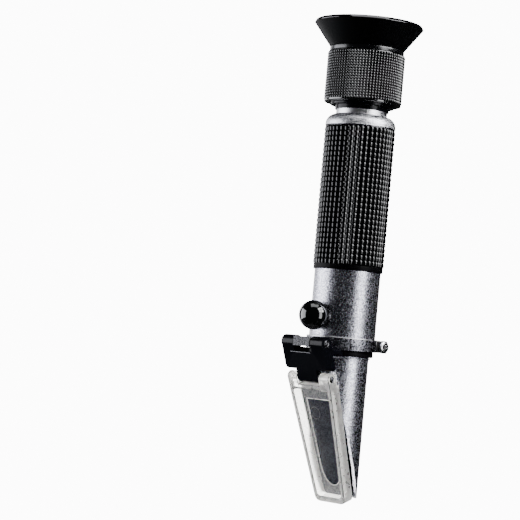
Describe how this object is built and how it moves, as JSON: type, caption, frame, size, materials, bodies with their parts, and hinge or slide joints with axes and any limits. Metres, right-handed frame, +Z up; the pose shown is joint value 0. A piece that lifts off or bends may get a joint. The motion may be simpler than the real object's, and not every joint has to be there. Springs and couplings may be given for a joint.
{
  "type": "handheld refractometer",
  "caption": "Handheld brewing refractometer: a tube with a focusing eyepiece and eyecup, a rubber grip, a calibration screw under a cap, and a slanted prism under a hinged clear daylight plate.",
  "frame": {"origin": "centre of the bounding box's bottom face: the level of the surface that the clamp ears and the eyecup rim rest on", "axes": "+X along the optical axis towards the eye, +Z up out of the side that carries the daylight plate, +Y across"},
  "size_m": [0.171, 0.0388, 0.0397],
  "materials": {
    "satin_aluminium": "fine sandblasted and clear anodised, satin",
    "bright_steel": "bright turned steel",
    "black_anodised": "black, semi-gloss",
    "black_rubber": "moulded black rubber with a soft sheen",
    "gloss_black": "glossy black",
    "clear_plastic": "clear moulded plastic with a frosted border",
    "prism_glass": "polished optical glass over a dark bed",
    "lens_glass": "polished and coated lens glass",
    "brass": "machined brass",
    "spring_steel": "rolled strip"
  },
  "bodies": {
    "body": {"main_tube": "satin_aluminium", "grip_sleeve": "black_rubber", "eyepiece_neck": "satin_aluminium", "light_baffle": "black_anodised", "reticle_glass": "lens_glass", "reticle_ring": "black_anodised", "nose_housing": "satin_aluminium", "seal_ring": "black_rubber", "prism_seat": "black_anodised", "prism": "prism_glass", "clamp_band": "satin_aluminium", "clamp_screw": "bright_steel", "clamp_nut": "bright_steel", "hinge_pin_upper": "bright_steel", "carriage_guide": "black_anodised", "return_spring": "spring_steel", "calibration_bush": "brass"},
    "objective_carriage": {"lens_carrier": "brass", "bimetal_strip": "spring_steel", "objective_cell": "black_anodised", "objective_flint": "lens_glass", "objective_crown": "lens_glass", "objective_retainer": "black_anodised", "bimetal_screw_fixed": "brass", "bimetal_screw_free": "brass"},
    "calibration_screw": {"calibration_screw": "brass"},
    "calibration_cap": {"calibration_cap": "gloss_black"},
    "link": {"hinge_link": "black_anodised", "hinge_pin_lower": "bright_steel"},
    "plate": {"daylight_plate": "clear_plastic"},
    "lens_carriage": {"eye_lens_cell": "black_anodised", "field_lens": "lens_glass", "lens_spacer": "black_anodised", "eye_lens": "lens_glass", "eye_lens_retainer": "black_anodised"},
    "focus_ring": {"focus_ring": "black_anodised", "knurled_sleeve": "black_rubber", "eyecup": "black_rubber", "focus_o_ring": "black_rubber"}
  },
  "joints": [
    {"name": "link_swing", "type": "hinge", "parent": "body", "child": "link", "pos_m": [-0.0292, 0, 0.03703], "axis": [0, 1, 0], "range_deg": [0, 100]},
    {"name": "plate_tilt", "type": "hinge", "parent": "link", "child": "plate", "pos_m": [-0.0413, 0, 0.03293], "axis": [0, 1, 0], "range_deg": [0, 40]},
    {"name": "cap_pull", "type": "slide", "parent": "body", "child": "calibration_cap", "axis": [0, 0, 1], "range_m": [0, 0.006]},
    {"name": "objective_shift", "type": "slide", "parent": "body", "child": "objective_carriage", "axis": [0, 0, 1], "range_m": [-0.000345, 0.000345], "deforming": ["return_spring"]},
    {"name": "calibration_turn", "type": "hinge", "parent": "objective_carriage", "child": "calibration_screw", "pos_m": [-0.0194, 0, 0.03043], "axis": [0, 0, 1], "range_deg": [-250, 250]},
    {"name": "eyepiece_travel", "type": "slide", "parent": "body", "child": "lens_carriage", "axis": [1, 0, 0], "range_m": [-0.00149, 0.00249]},
    {"name": "focus_turn", "type": "hinge", "parent": "lens_carriage", "child": "focus_ring", "pos_m": [0.065, 0, 0.01943], "axis": [1, 0, 0], "range_deg": [-90, 150]}
  ],
  "couplings": [
    {"joint": "calibration_turn", "follows": "objective_shift", "rad_per_m": 12566},
    {"joint": "focus_turn", "follows": "eyepiece_travel", "rad_per_m": 1047.2}
  ]
}
